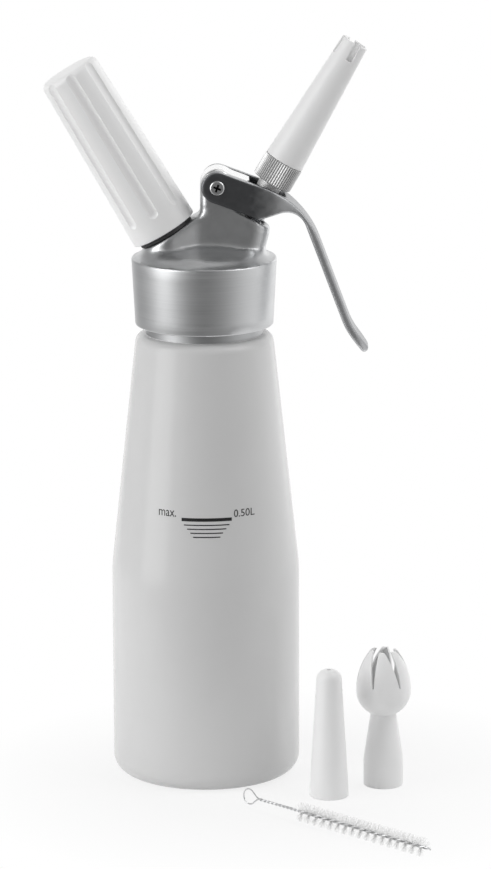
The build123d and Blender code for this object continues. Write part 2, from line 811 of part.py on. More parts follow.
with BuildPart() as lever:
    with BuildSketch(Plane.XZ):
        with BuildLine():
            side_points = [(corner.X, corner.Z) for corner in lever_corners]
            FilletPolyline(*side_points, radius=lever_radii, close=True)
        make_face()
        with Locations((pivot_x, pivot_z)):
            Circle(lever_cheek_r)
    extrude(amount=lever_half, both=True)
    lever_plan = outline(Plane.XY, lever_plan_points, half_rounds + half_rounds[::-1])
    extrude(lever_plan, amount=pivot_z + 2 * lever_cheek_r, mode=Mode.INTERSECT)
    fillet(lever.edges(), min(lever_edge, handle_thick / 3))
    # Slot for the tower between the cheeks
    slot_plane = Plane(pivot, x_dir=cheek_dir, z_dir=cheek_up)
    slot_points = [
        (-3 * lever_cheek_r, -lever_inner),
        (fork_slot_reach, -lever_inner),
        (fork_slot_reach, lever_inner),
        (-3 * lever_cheek_r, lever_inner),
    ]
    slot_face = outline(slot_plane, slot_points, [0, fork_slot_round, fork_slot_round, 0])
    extrude(slot_face, amount=3 * lever_cheek_r, both=True, mode=Mode.SUBTRACT)
    # Pins that press on the stem's collar
    pin_middle = lever_inner - fork_pin_inset / 2
    for side in (-1, 1):
        with Locations(nozzle_plane.from_local_coords((0, side * pin_middle, fork_pin_at))):
            Cylinder(fork_pin_r, fork_pin_inset, rotation=(90, 0, 0))
    with Locations(pivot):
        Cylinder(axle_r + running_gap, 3 * lever_half, rotation=(90, 0, 0), mode=Mode.SUBTRACT)
save(lever, "lever")

# Pivot barrel: the lever's axle, with a flange behind
axle_end = lever_half + axle_play
barrel_points = [
    (pivot_screw_r, -axle_end),
    (axle_r, -axle_end),
    (axle_r, axle_end),
    (axle_head_r, axle_end),
    (axle_head_r, axle_end + axle_head),
    (pivot_screw_r, axle_end + axle_head),
]
pivot_section = Plane(pivot, x_dir=(1, 0, 0), z_dir=(0, 0, 1))
pivot_axis = Axis(pivot, (0, 1, 0))
with BuildPart() as pivot_barrel:
    revolve(outline(pivot_section, barrel_points, [0, 0, 0, 0, axle_head / 2, 0]), axis=pivot_axis)
save(pivot_barrel, "pivot_barrel")

# Pivot screw: low domed head with a cross recess in front
screw_points = [
    (0, -axle_end - axle_head),
    (axle_head_r, -axle_end - axle_head),
    (axle_head_r, -axle_end),
    (pivot_screw_r - seat_gap, -axle_end),
    (pivot_screw_r - seat_gap, axle_end),
    (0, axle_end),
]
with BuildPart() as pivot_screw:
    revolve(outline(pivot_section, screw_points, [0, screw_crown, 0, 0, 0, 0]), axis=pivot_axis)
    screw_face = Plane(pivot - Vector(0, axle_end + axle_head, 0), x_dir=cheek_dir, z_dir=(0, -1, 0))
    with BuildSketch(screw_face):
        Rectangle(2 * cross_reach, cross_width)
        Rectangle(cross_width, 2 * cross_reach)
    extrude(amount=-cross_depth, mode=Mode.SUBTRACT)
save(pivot_screw, "pivot_screw")

# Plain spare tip: hollow taper with a round end
socket_height = nipple_length + touch_gap
plain_points = [
    (tip_socket_r, 0),
    (tip_base_r, 0),
    (plain_tip_end_r, plain_tip_height),
    (plain_outlet_r, plain_tip_height),
    (plain_outlet_r, plain_tip_height - tip_wall),
    (plain_tip_end_r - tip_wall, plain_tip_height - tip_wall),
    (plain_tip_end_r - tip_wall, socket_height + tip_base_r),
    (tip_socket_r, socket_height),
]
plain_dome = plain_tip_end_r - plain_outlet_r
plain_inner_dome = (plain_dome - tip_wall) * near_full
plain_radii = [0, edge_round, plain_dome * near_full, 0, 0, plain_inner_dome, 0, 0]
plain_section = Plane((plain_tip_x, plain_tip_y, 0), x_dir=(1, 0, 0), z_dir=(0, -1, 0))
with BuildPart() as plain_tip:
    revolve(outline(plain_section, plain_points, plain_radii), axis=Axis(plain_section.origin, (0, 0, 1)))
save(plain_tip, "plain_tip")

# Tulip tip: a stem that opens into six petals
tulip_place = (tulip_x, tulip_y, 0)
tulip_section = Plane(tulip_place, x_dir=(1, 0, 0), z_dir=(0, -1, 0))
petal_step = 360 / petal_count
with BuildPart() as tulip_tip:
    with BuildSketch(tulip_section) as tulip_face:
        with BuildLine():
            stem_line = FilletPolyline(
                (tip_socket_r, socket_height),
                (tip_socket_r, 0),
                (tip_base_r, 0),
                (tip_base_r, tulip_base_height),
                (tulip_neck_r, tulip_neck_height),
                radius=[0, edge_round, tulip_base_blend],
            )
            bowl = TangentArc((tulip_bulb_r, tulip_bulb_height), stem_line @ 1, tangent=(0, -1))
            crown = TangentArc(bowl @ 0, (tulip_end_r, tulip_height), tangent=(0, 1))
            inner_top = (tulip_end_r - tulip_wall, tulip_height)
            Line(crown @ 1, inner_top)
            inner_widest = (tulip_bulb_r - tulip_wall, tulip_bulb_height)
            TangentArc(inner_widest, inner_top, tangent=(0, 1))
            inner_neck = (tulip_neck_r - tulip_wall, tulip_neck_height + tulip_wall)
            TangentArc(inner_widest, inner_neck, tangent=(0, -1))
            inner_stem = (tulip_neck_r - tulip_wall, tulip_neck_height - tulip_wall)
            Polyline(inner_neck, inner_stem, stem_line @ 0)
        make_face()
    revolve(axis=Axis(tulip_place, (0, 0, 1)))
    for petal in range(petal_count):
        slit_angle = radians(petal_turn + petal_step * petal)
        slit_across = (-sin(slit_angle), cos(slit_angle), 0)
        slit_out = (cos(slit_angle), sin(slit_angle), 0)
        slit_plane = Plane(tulip_place, x_dir=slit_across, z_dir=slit_out)
        slit_foot = tulip_height - petal_slit
        slit_points = [
            (-petal_slit_low / 2, slit_foot),
            (petal_slit_low / 2, slit_foot),
            (petal_skew + petal_slit_top / 2, tulip_height),
            (petal_skew - petal_slit_top / 2, tulip_height),
        ]
        extrude(outline(slit_plane, slit_points), amount=2 * tulip_bulb_r, mode=Mode.SUBTRACT)
save(tulip_tip, "tulip_tip")

# Cleaning brush: its frame has X along the wire, from the foot of the loop to the far end
heading = radians(brush_heading)
brush_foot = Vector(brush_x, brush_y, brush_lift)
brush_along = Vector(cos(heading), sin(heading), 0)
loop_plane = Plane(brush_foot, x_dir=brush_along, z_dir=(sin(heading), -cos(heading), 0))
rod_plane = Plane(brush_foot, x_dir=(0, 0, 1), z_dir=brush_along)

# Brush wire: twisted rod with a loop at one end
loop_angle = asin(loop_r / loop_length)
loop_touch = (-loop_length + loop_r * sin(loop_angle), loop_r * cos(loop_angle))
loop_start = (-loop_foot * cos(loop_angle), loop_foot * sin(loop_angle))
with BuildPart() as brush_wire:
    with BuildLine(loop_plane) as loop_path:
        Line(loop_start, loop_touch)
        ThreePointArc(loop_touch, (-loop_length - loop_r, 0), (loop_touch[0], -loop_touch[1]))
        Line((loop_touch[0], -loop_touch[1]), (loop_start[0], -loop_start[1]))
    with BuildSketch(Plane(loop_path.wire() @ 0, z_dir=loop_path.wire() % 0)):
        Circle(brush_wire_r)
    sweep(path=loop_path.wire())
    with BuildSketch(rod_plane.offset(-loop_foot)):
        Circle(brush_core_r)
    extrude(amount=brush_bare + loop_foot)
save(brush_wire, "brush_wire")

# Bristles: strands through the twisted core, which runs on to the wire's end
strand_places = []
for row in range(bristle_rows):
    along = bristle_zone * (row + 0.5) / bristle_rows
    around = 360 * along / bristle_pitch
    strand_places.append(Location((0, 0, brush_bare + along), (0, 0, around)))
with BuildPart(rod_plane) as brush_bristles:
    with Locations(Location((0, 0, brush_bare))):
        core_align = (Align.CENTER, Align.CENTER, Align.MIN)
        Cylinder(brush_core_r, bristle_zone + brush_end, align=core_align)
    with Locations(*strand_places):
        Box(2 * bristle_reach, bristle_side, bristle_side)
save(brush_bristles, "brush_bristles")
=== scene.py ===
import json
import math
import random

import bmesh
import bpy
from mathutils import Matrix, Vector

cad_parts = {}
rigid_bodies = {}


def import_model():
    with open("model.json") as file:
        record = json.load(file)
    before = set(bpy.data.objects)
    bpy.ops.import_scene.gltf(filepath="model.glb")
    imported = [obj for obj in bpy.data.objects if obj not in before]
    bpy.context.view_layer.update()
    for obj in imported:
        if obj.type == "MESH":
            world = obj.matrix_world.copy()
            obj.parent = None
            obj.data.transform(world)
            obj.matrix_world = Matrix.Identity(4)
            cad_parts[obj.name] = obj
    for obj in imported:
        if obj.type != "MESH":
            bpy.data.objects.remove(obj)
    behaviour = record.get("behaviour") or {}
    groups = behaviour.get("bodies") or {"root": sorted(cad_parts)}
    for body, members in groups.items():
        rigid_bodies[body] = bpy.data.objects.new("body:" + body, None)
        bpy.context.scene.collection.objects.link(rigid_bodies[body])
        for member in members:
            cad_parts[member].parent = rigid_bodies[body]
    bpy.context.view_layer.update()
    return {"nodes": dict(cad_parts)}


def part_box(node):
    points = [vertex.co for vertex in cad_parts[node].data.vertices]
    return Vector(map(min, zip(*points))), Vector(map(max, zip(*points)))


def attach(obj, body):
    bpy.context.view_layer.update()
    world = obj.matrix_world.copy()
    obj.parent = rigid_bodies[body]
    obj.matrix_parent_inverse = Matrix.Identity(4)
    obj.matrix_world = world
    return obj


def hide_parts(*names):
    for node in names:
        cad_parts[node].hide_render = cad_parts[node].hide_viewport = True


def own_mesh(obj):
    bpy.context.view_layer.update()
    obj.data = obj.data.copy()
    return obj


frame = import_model()
nodes = frame["nodes"]

mm = 0.001

# Camera: a long lens from in front and a little above. The picture is 491 by 869 pixels.
picture_height = 869
focal_length = 5000
camera_pitch = math.radians(13.2)
camera_roll = math.radians(-0.2)
camera_place = (17.15 * mm, -2062.0 * mm, 630.4 * mm)
sensor_width = 36.0

# Studio: how bright its walls are, by azimuth in degrees. 0 is at the camera, 90 at +X. The ceiling
# and the pit below the floor's level take over where a ray's Z is steep.
studio_walls = (
    (-180, 1.3),
    (-160, 1.2),
    (-150, 0.8),
    (-140, 0.5),
    (-120, 0.36),
    (-90, 0.5),
    (-60, 0.5),
    (-45, 0.42),
    (-30, 0.28),
    (-5, 0.12),
    (5, 0.16),
    (34, 0.36),
    (50, 0.62),
    (65, 0.85),
    (100, 1.1),
    (130, 1.2),
    (145, 1.5),
    (180, 1.3),
)
studio_ceiling = 0.28
ceiling_from, ceiling_to = 0.25, 0.65
studio_pit = 0.25
pit_from, pit_to = -0.3, -0.5
backdrop_from, backdrop_to = 0.9, 0.98

# Lamps: azimuth in degrees, then distance from the aim, height above it, width and tallness in
# metres, and radiance
lamp_aim = Vector((20 * mm, 0, 150 * mm))
softboxes = {
    "left_softbox": (-66, 1.1, 0.3, 0.75, 1.2, 2.2),
    "right_softbox": (76, 0.75, 0.8, 0.7, 0.7, 2.3),
    "top_softbox": (-50, 1.1, 0.3, 1.0, 1.0, 0.5),
    "back_softbox": (150, 0.6, 1.1, 0.9, 0.9, 0.6),
}

# Paper floor, in metres. It keeps the shadow near the middle of the object and its loose pieces.
floor_place = (0, 1.24, 0)
floor_spread = (0.84, 2.81, 1.0)
shadow_middle = (30 * mm, -20 * mm, 0)
shadow_fade = (55 * mm, 140 * mm)
shadow_glow = 0.8

# Merging of loose triangles, and the angle from which an edge stays sharp
cad_merge = 0.002 * mm
fine_merge = 0.001 * mm
turned_crease = math.radians(25)
wire_crease = math.radians(40)
cast_crease = math.radians(50)

# Places on the bottle
lacquer_top = 191.4 * mm
inner_floor_top = 10 * mm
inner_wall_margin = 0.1 * mm

# Head: the turned skirt ends at casting_foot. The casting is softened with spare below that, then cut.
skirt_top = 223.8 * mm
casting_foot = skirt_top - 1.0 * mm
casting_spare = 3 * mm
cutter_size = 400 * mm
casting_voxel = 0.5 * mm
hollow_angle = math.radians(9)
hollow_rings = 5
hollow_smoothing = 50
dome_band_top = skirt_top + 4.5 * mm
dome_reach = 29 * mm
dome_smoothing = 100
# Above these heights, up-facing faces of the casting get a painted highlight
saddle_from = 250 * mm
saddle_to = 254 * mm

# Valve: its axis crosses the bottle's axis and leans to the nozzle. The spring stands along it.
port_tilt = math.radians(30.6)
port_cross = Vector((0, 0, 207.2 * mm))
nozzle_way = Vector((math.sin(port_tilt), 0, math.cos(port_tilt)))

# Lever
pivot_x = 5.7 * mm
pivot_z = 254.8 * mm
pivot_keep = 4.2 * mm
cross_reach = 1.85 * mm
cross_sink = 0.1 * mm
lever_voxel = 0.45 * mm
lever_smoothing = 10
# Painted shade on the lever: where it gives way to the pale grey along X, how blotchy that edge is, how
# far the painted highlight on the cheeks' top edges reaches, the facing that keeps part of the shade, and
# the fork's shaded inner faces
pale_from = 20 * mm
pale_to = 36 * mm
pale_blotch = 4 * mm
cheek_fade = 6 * mm
handle_back = (0.7, 0, 0.7)
fork_half = 8.6 * mm
fork_end = 32 * mm

# Nozzle adapter: radii of the knurl's hollows and lands, and of the plain neck
knurl_lands = (8.2 * mm, 8.4 * mm)
neck_r = knurl_lands[0] - 0.3 * mm

# Printed fill mark on the bottle's front
mark_middle = 0.8 * mm
mark_bar_z = 118.7 * mm
mark_bar_width = 21.0 * mm
mark_bar_height = 1.4 * mm
mark_line_height = 0.45 * mm
mark_line_step = 1.68 * mm
mark_line_first = 2.25 * mm
mark_line_widths = (19.0 * mm, 16.4 * mm, 13.7 * mm, 11.4 * mm)
mark_max_room = (-19.2 * mm, -12.0 * mm, 119.6 * mm, 122.2 * mm)
mark_volume_room = (12.2 * mm, 20.8 * mm, 119.4 * mm, 122.5 * mm)
mark_ink = 0.05 * mm
mark_sheet_y = -60 * mm
mark_grid = 0.8 * mm

# Cleaning brush: X runs along the wire, from the foot of the loop to the far end
brush_foot = Vector((21.5, -60.8, 4.5)) * mm
brush_heading = math.radians(-44.7)
brush_bare = 25.0 * mm
brush_zone = 70.0 * mm
brush_end = 3.5 * mm
wire_short = 0.2 * mm
wire_r = 0.31 * mm
wire_apart = 0.36 * mm
bare_pitch = 4.4 * mm
bristle_pitch = 8.4 * mm
bristle_reach = 4.25 * mm
bristle_r = 0.035 * mm
bristle_rows = 2400
bristle_seed = 7
bristle_cuts = 5
bristle_stray = 16
bristle_lean = 5
bristle_uneven = 0.08
bristle_wave = 1.5 * mm
bristle_bend = 0.35 * mm
loop_r = 3.3 * mm
loop_length = 4.6 * mm
turn_points = 14


def linear(hex_colour):
    """The linear colour of an sRGB hex value."""
    parts = [int(hex_colour[i:i + 2], 16) / 255 for i in (1, 3, 5)]
    return [c / 12.92 if c <= 0.04045 else ((c + 0.055) / 1.055) ** 2.4 for c in parts] + [1.0]


def per(size):
    """Texture scale of a pattern whose features are size millimetres across."""
    return 1 / (size * mm)


def add(tree, kind, values=(), links=(), **settings):
    """Adds a node: its settings, the values on its sockets and what feeds them."""
    node = tree.nodes.new("ShaderNode" + kind)
    for name, value in settings.items():
        setattr(node, name, value)
    for socket, value in dict(values).items():
        node.inputs[socket].default_value = value
    for socket, source in dict(links).items():
        tree.links.new(source, node.inputs[socket])
    return node


def begin(name, sockets):
    """A new material: its tree, its shader with its even values set, and its coordinates."""
    material = bpy.data.materials.new(name)
    material.use_nodes = True
    tree = material.node_tree
    shader = tree.nodes["Principled BSDF"]
    for socket, value in sockets.items():
        shader.inputs[socket].default_value = value
    return material, tree, shader, add(tree, "TexCoord").outputs


def grained(name, sockets, colours, mottle_size, roughness, grain_size, grain_depth):
    """A material with mottled colour, and a grain that roughens and lifts its surface."""
    material, tree, shader, place = begin(name, sockets)
    mottle_values = {"Scale": per(mottle_size), "Detail": 3.0}
    mottle = add(tree, "TexNoise", mottle_values, {"Vector": place["Object"]}).outputs["Fac"]
    shades = {6: linear(colours[0]), 7: linear(colours[1])}
    colour = add(tree, "Mix", shades, {0: mottle}, data_type="RGBA").outputs[2]
    grain_values = {"Scale": per(grain_size), "Detail": 4.0}
    grain = add(tree, "TexNoise", grain_values, {"Vector": place["Object"]}).outputs["Fac"]
    rough_values = {"From Min": 0.3, "From Max": 0.7, "To Min": roughness[0], "To Max": roughness[1]}
    rough = add(tree, "MapRange", rough_values, {"Value": grain}).outputs["Result"]
    bump = add(tree, "Bump", {"Distance": grain_depth * mm}, {"Height": grain}).outputs["Normal"]
    for socket, source in (("Base Color", colour), ("Roughness", rough), ("Normal", bump)):
        tree.links.new(source, shader.inputs[socket])
    return material


def stove_lacquer():
    # White stoving lacquer sprayed on a drawn aluminium bottle: a bright, glossy coat with a faint
    # orange peel. The neck and the inside were masked, so they show bare metal.
    material, tree, shader, place = begin("white_stove_lacquer", {"Specular IOR Level": 0.35})
    spot = add(tree, "SeparateXYZ", links={"Vector": place["Object"]}).outputs
    facing = add(tree, "SeparateXYZ", links={"Vector": place["Normal"]}).outputs
    even = {"Vector": place["Object"]}
    flat_spot = add(tree, "VectorMath", {1: (1, 1, 0)}, {0: place["Object"]}, operation="MULTIPLY")
    outward = add(
        tree, "VectorMath", links={0: flat_spot.outputs[0], 1: place["Normal"]}, operation="DOT_PRODUCT"
    ).outputs["Value"]
    inner_wall = add(tree, "Math", {1: -inner_wall_margin}, {0: outward}, operation="LESS_THAN").outputs[0]
    neck = add(tree, "Math", {1: lacquer_top}, {0: spot["Z"]}, operation="GREATER_THAN").outputs[0]
    upward = add(tree, "Math", {1: 0.5}, {0: facing["Z"]}, operation="GREATER_THAN").outputs[0]
    low = add(tree, "Math", {1: inner_floor_top}, {0: spot["Z"]}, operation="LESS_THAN").outputs[0]
    inner_floor = add(tree, "Math", links={0: upward, 1: low}, operation="MULTIPLY").outputs[0]
    wall_or_neck = add(tree, "Math", links={0: inner_wall, 1: neck}, operation="MAXIMUM").outputs[0]
    bare = add(tree, "Math", links={0: wall_or_neck, 1: inner_floor}, operation="MAXIMUM").outputs[0]
    cloud_values = {"Scale": per(25), "Detail": 2.0}
    cloud = add(tree, "TexNoise", cloud_values, even).outputs["Fac"]
    whites = {6: linear("#DADADA"), 7: linear("#DFDFDF")}
    white = add(tree, "Mix", whites, {0: cloud}, data_type="RGBA").outputs[2]
    drawn_lines = add(tree, "Mapping", {"Scale": (per(30), per(30), per(0.4))}, even).outputs[0]
    lines = add(tree, "TexNoise", {"Scale": 1.0, "Detail": 3.0}, {"Vector": drawn_lines}).outputs["Fac"]
    metals = {6: linear("#ABACAD"), 7: linear("#C4C5C6")}
    metal = add(tree, "Mix", metals, {0: lines}, data_type="RGBA").outputs[2]
    colour = add(tree, "Mix", links={0: bare, 6: white, 7: metal}, data_type="RGBA").outputs[2]
    coat_rough = {"To Min": 0.18, "To Max": 0.24}
    gloss = add(tree, "MapRange", coat_rough, {"Value": cloud}).outputs["Result"]
    rough = add(tree, "Mix", {3: 0.45}, {0: bare, 2: gloss}).outputs[0]
    peel = add(tree, "TexNoise", {"Scale": per(2.2), "Detail": 1.0}, even).outputs["Fac"]
    bump = add(tree, "Bump", {"Distance": 0.006 * mm}, {"Height": peel}).outputs["Normal"]
    pairs = (("Base Color", colour), ("Metallic", bare), ("Roughness", rough), ("Normal", bump))
    for socket, source in pairs:
        tree.links.new(source, shader.inputs[socket])
    return material


def turned_aluminium():
    # Aluminium turned on a lathe and brushed round: a satin band of fine rings, which draw every
    # light out into an upright streak. Real rings are finer; these are as coarse as the picture shows.
    sockets = {"Metallic": 1.0, "Anisotropic": 0.7}
    material, tree, shader, place = begin("turned_aluminium", sockets)
    rings = add(
        tree, "Mapping", {"Scale": (per(40), per(40), per(0.45))}, {"Vector": place["Object"]}
    ).outputs[0]
    ring_values = {"Scale": 1.0, "Detail": 5.0, "Roughness": 0.6}
    ring = add(tree, "TexNoise", ring_values, {"Vector": rings}).outputs["Fac"]
    shades = {6: linear("#C6C7C8"), 7: linear("#DCDDDE")}
    colour = add(tree, "Mix", shades, {0: ring}, data_type="RGBA").outputs[2]
    rough_values = {"From Min": 0.3, "From Max": 0.7, "To Min": 0.28, "To Max": 0.38}
    rough = add(tree, "MapRange", rough_values, {"Value": ring}).outputs["Result"]
    bump = add(tree, "Bump", {"Distance": 0.006 * mm}, {"Height": ring}).outputs["Normal"]
    for socket, source in (("Base Color", colour), ("Roughness", rough), ("Normal", bump)):
        tree.links.new(source, shader.inputs[socket])
    return material


def blasted_casting():
    # Shot-blasted aluminium casting: a fine matte grain, a little uneven in tone. Up-facing faces of the
    # saddle on the tower, where the lever sits, get a near-white painted highlight and a lower roughness.
    material, tree, shader, place = begin("shot_blasted_aluminium", {"Metallic": 1.0})
    mottle_values = {"Scale": per(5), "Detail": 3.0}
    mottle = add(tree, "TexNoise", mottle_values, {"Vector": place["Object"]}).outputs["Fac"]
    shades = {6: linear("#C2C3C4"), 7: linear("#D6D7D8")}
    blasted = add(tree, "Mix", shades, {0: mottle}, data_type="RGBA").outputs[2]
    height = add(tree, "SeparateXYZ", links={"Vector": place["Object"]}).outputs["Z"]
    upward = add(tree, "SeparateXYZ", links={"Vector": place["Normal"]}).outputs["Z"]
    high = add(tree, "MapRange", {"From Min": saddle_from, "From Max": saddle_to}, {"Value": height})
    level = add(tree, "MapRange", {"From Min": 0.15, "From Max": 0.5}, {"Value": upward})
    both = {0: high.outputs["Result"], 1: level.outputs["Result"]}
    top_highlight = add(tree, "Math", links=both, operation="MULTIPLY").outputs[0]
    # Near-white painted highlight on the up-facing top of the tower
    highlight_white = {7: linear("#F7F7F7")}
    colour = add(tree, "Mix", highlight_white, {0: top_highlight, 6: blasted}, data_type="RGBA").outputs[2]
    grain_values = {"Scale": per(0.45), "Detail": 4.0}
    grain = add(tree, "TexNoise", grain_values, {"Vector": place["Object"]}).outputs["Fac"]
    rough_values = {"From Min": 0.3, "From Max": 0.7, "To Min": 0.28, "To Max": 0.40}
    matte = add(tree, "MapRange", rough_values, {"Value": grain}).outputs["Result"]
    rough = add(tree, "Mix", {3: 0.2}, {0: top_highlight, 2: matte}).outputs[0]
    bump = add(tree, "Bump", {"Distance": 0.04 * mm}, {"Height": grain}).outputs["Normal"]
    for socket, source in (("Base Color", colour), ("Roughness", rough), ("Normal", bump)):
        tree.links.new(source, shader.inputs[socket])
    return material


def casting_with_painted_shade():
    # Die-cast aluminium, tumbled, whose own colour is a paler satin grey. Painted shade darkens the
    # cheeks and the flat inner faces of the fork, and partly the faces turned up and back along the
    # handle; a painted highlight lightens the cheeks' top edges towards the pale grey.
    material, tree, shader, place = begin("lever_casting_painted_shade", {"Metallic": 1.0})
    spot = add(tree, "SeparateXYZ", links={"Vector": place["Object"]}).outputs
    facing = add(tree, "SeparateXYZ", links={"Vector": place["Normal"]}).outputs
    mottle_values = {"Scale": per(4), "Detail": 3.0}
    mottle = add(tree, "TexNoise", mottle_values, {"Vector": place["Object"]}).outputs["Fac"]
    # Past the cheeks, along X, the painted shade gives way to the pale grey over a blotchy edge
    blotch_values = {"To Min": -pale_blotch, "To Max": pale_blotch}
    blotch = add(tree, "MapRange", blotch_values, {"Value": mottle}).outputs["Result"]
    uneven = add(tree, "Math", links={0: spot["X"], 1: blotch}, operation="ADD").outputs[0]
    pale_values = {"From Min": pale_from, "From Max": pale_to}
    past_cheeks = add(tree, "MapRange", pale_values, {"Value": uneven}).outputs["Result"]
    # The flat inner faces of the fork keep the painted shade
    from_middle = add(tree, "Math", links={0: spot["Y"]}, operation="ABSOLUTE").outputs[0]
    sideways = add(tree, "Math", links={0: facing["Y"]}, operation="ABSOLUTE").outputs[0]
    within = add(tree, "Math", {1: fork_half}, {0: from_middle}, operation="LESS_THAN").outputs[0]
    flat = add(tree, "Math", {1: 0.6}, {0: sideways}, operation="GREATER_THAN").outputs[0]
    before = add(tree, "Math", {1: fork_end}, {0: spot["X"]}, operation="LESS_THAN").outputs[0]
    inner = add(tree, "Math", links={0: within, 1: before}, operation="MULTIPLY").outputs[0]
    fork_shade = add(tree, "Math", links={0: inner, 1: flat}, operation="MULTIPLY").outputs[0]
    handle_unshaded = add(tree, "Math", links={0: past_cheeks, 1: fork_shade}, operation="SUBTRACT", use_clamp=True)
    # Faces turned up and back along the handle keep part of the painted shade
    back = add(tree, "VectorMath", {1: handle_back}, {0: place["Normal"]}, operation="DOT_PRODUCT")
    back_values = {"From Min": 0.2, "From Max": 0.65, "To Min": 1.0, "To Max": 0.4}
    back_pale_share = add(tree, "MapRange", back_values, {"Value": back.outputs["Value"]}).outputs["Result"]
    handle = add(tree, "Math", links={0: handle_unshaded.outputs[0], 1: back_pale_share}, operation="MULTIPLY").outputs[0]
    # Painted highlight on the cheeks' top edges, fading out along X
    edge_values = {"From Min": 0.3, "From Max": 0.7, "To Max": 0.8}
    edge = add(tree, "MapRange", edge_values, {"Value": facing["Z"]}).outputs["Result"]
    cheek_end = pale_from + cheek_fade
    cheek_values = {"From Min": pale_from, "From Max": cheek_end, "To Min": 1.0, "To Max": 0.0}
    cheek = add(tree, "MapRange", cheek_values, {"Value": spot["X"]}).outputs["Result"]
    top_edge_highlight = add(tree, "Math", links={0: edge, 1: cheek}, operation="MULTIPLY").outputs[0]
    unshaded = add(tree, "Math", links={0: handle, 1: top_edge_highlight}, operation="MAXIMUM").outputs[0]
    # The painted shade colour; the pale grey below is the casting's own colour
    shade_greys = {6: linear("#626365"), 7: linear("#767779")}
    dark = add(tree, "Mix", shade_greys, {0: mottle}, data_type="RGBA").outputs[2]
    pales = {6: linear("#C8C9CB"), 7: linear("#DADBDC")}
    pale = add(tree, "Mix", pales, {0: mottle}, data_type="RGBA").outputs[2]
    colour = add(tree, "Mix", links={0: unshaded, 6: dark, 7: pale}, data_type="RGBA").outputs[2]
    grain_values = {"Scale": per(0.45), "Detail": 4.0}
    grain = add(tree, "TexNoise", grain_values, {"Vector": place["Object"]}).outputs["Fac"]
    rough_values = {"From Min": 0.3, "From Max": 0.7, "To Min": 0.32, "To Max": 0.44}
    rough = add(tree, "MapRange", rough_values, {"Value": grain}).outputs["Result"]
    bump = add(tree, "Bump", {"Distance": 0.04 * mm}, {"Height": grain}).outputs["Normal"]
    for socket, source in (("Base Color", colour), ("Roughness", rough), ("Normal", bump)):
        tree.links.new(source, shader.inputs[socket])
    return material


# Injection-moulded polypropylene: a soft white with a low sheen and a little light in it
white_plastic = grained(
    "moulded_polypropylene",
    {"Subsurface Weight": 0.1, "Subsurface Radius": (2 * mm, 2 * mm, 2 * mm), "Subsurface Scale": 1.0},
    ("#F8F8F8", "#FBFBFB"),
    9.0,
    (0.30, 0.40),
    0.8,
    0.004,
)

# Nitrile rubber rings: dark grey, dull and slightly dusty
black_rubber = grained("nitrile_rubber", {}, ("#333334", "#414142"), 2.0, (0.55, 0.7), 0.3, 0.02)

# Silicone gasket: grey, soft, with a dull skin
grey_silicone = grained("silicone_rubber", {}, ("#8B8C8D", "#999A9B"), 3.0, (0.45, 0.6), 0.4, 0.01)

# Nickel-plated brass: bright, with faint machining haze
plated_brass = grained(
    "nickel_plated_brass", {"Metallic": 1.0}, ("#C9C9C8", "#DBDBDA"), 2.5, (0.18, 0.28), 0.3, 0.004
)

# Turned stainless steel: bright and slightly grey
stainless = grained(
    "turned_stainless_steel", {"Metallic": 1.0}, ("#A9AAAC", "#C2C3C5"), 2.0, (0.20, 0.30), 0.3, 0.006
)


def knurled_steel():
    # Matt-plated steel with a rolled straight knurl. Its hollows are painted dark as shade between
    # the bright lands; the neck below it gets none.
    material, tree, shader, place = begin("knurled_steel", {"Metallic": 0.5})
    apart = add(tree, "VectorMath", {1: port_cross}, {0: place["Object"]}, operation="SUBTRACT")
    swept = add(
        tree, "VectorMath", {1: nozzle_way}, {0: apart.outputs[0]}, operation="CROSS_PRODUCT"
    ).outputs[0]
    radius = add(tree, "VectorMath", links={0: swept}, operation="LENGTH").outputs["Value"]
    land_values = {"From Min": knurl_lands[0], "From Max": knurl_lands[1]}
    land = add(tree, "MapRange", land_values, {"Value": radius}).outputs["Result"]
    inner = add(tree, "Math", {1: neck_r}, {0: radius}, operation="LESS_THAN").outputs[0]
    lands_and_neck = add(tree, "Math", links={0: land, 1: inner}, operation="MAXIMUM").outputs[0]
    haze_values = {"Scale": per(0.6), "Detail": 3.0}
    haze = add(tree, "TexNoise", haze_values, {"Vector": place["Object"]}).outputs["Fac"]
    brights = {6: linear("#E6E6E6"), 7: linear("#F2F2F2")}
    bright = add(tree, "Mix", brights, {0: haze}, data_type="RGBA").outputs[2]
    # Painted shade in the knurl's hollows
    painted_hollow_shade = {6: linear("#303030")}
    colour = add(tree, "Mix", painted_hollow_shade, {0: lands_and_neck, 7: bright}, data_type="RGBA").outputs[2]
    rough_values = {"To Min": 0.42, "To Max": 0.52}
    rough = add(tree, "MapRange", rough_values, {"Value": haze}).outputs["Result"]
    for socket, source in (("Base Color", colour), ("Roughness", rough)):
        tree.links.new(source, shader.inputs[socket])
    return material


